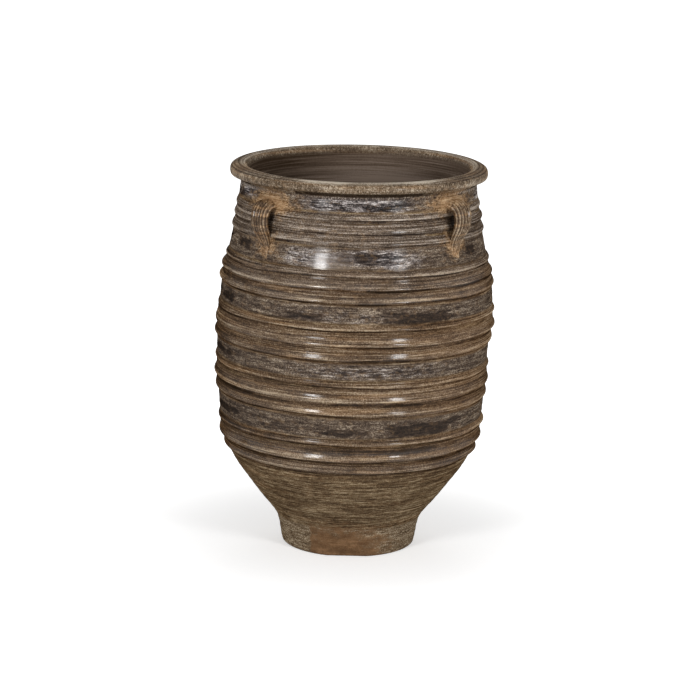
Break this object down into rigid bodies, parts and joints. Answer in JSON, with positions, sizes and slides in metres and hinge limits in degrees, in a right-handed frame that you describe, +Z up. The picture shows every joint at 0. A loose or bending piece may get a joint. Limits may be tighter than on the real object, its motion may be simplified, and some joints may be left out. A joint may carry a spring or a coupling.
{
  "type": "pithos",
  "caption": "Tall ribbed clay storage jar with an open mouth, a thick rolled rim, a narrow foot and strap handles at the neck.",
  "frame": {"origin": "centre of the standing face, on the jar's axis", "axes": "+Z up along the jar's axis, +X towards one handle, +Y towards the next one counter-clockwise"},
  "size_m": [0.5765, 0.5766, 0.8],
  "materials": {
    "wall_slip": "satin",
    "cordon_slip": "satin",
    "rim_slip": "satin",
    "handle_slip": "satin",
    "foot_clay": "matt"
  },
  "bodies": {
    "root": {"belly_cordon_lower": "cordon_slip", "belly_cordon_middle": "cordon_slip", "belly_cordon_upper": "cordon_slip", "belly_ring": "wall_slip", "floor_disc": "foot_clay", "foot_ring": "foot_clay", "handle_back": "handle_slip", "handle_front": "handle_slip", "handle_left": "handle_slip", "handle_right": "handle_slip", "hip_cordon_lower": "cordon_slip", "hip_cordon_middle": "cordon_slip", "hip_cordon_upper": "cordon_slip", "lower_belly_cordon_lower": "cordon_slip", "lower_belly_cordon_middle": "cordon_slip", "lower_belly_cordon_upper": "cordon_slip", "lower_belly_ring": "wall_slip", "lower_cone": "wall_slip", "neck_cordon_lower": "cordon_slip", "neck_cordon_middle": "cordon_slip", "neck_cordon_upper": "cordon_slip", "neck_ring": "wall_slip", "rim_ring": "rim_slip", "shoulder_cordon_lower": "cordon_slip", "shoulder_cordon_middle": "cordon_slip", "shoulder_cordon_upper": "cordon_slip", "shoulder_ring": "wall_slip", "upper_belly_ring": "wall_slip"}
  },
  "joints": []
}
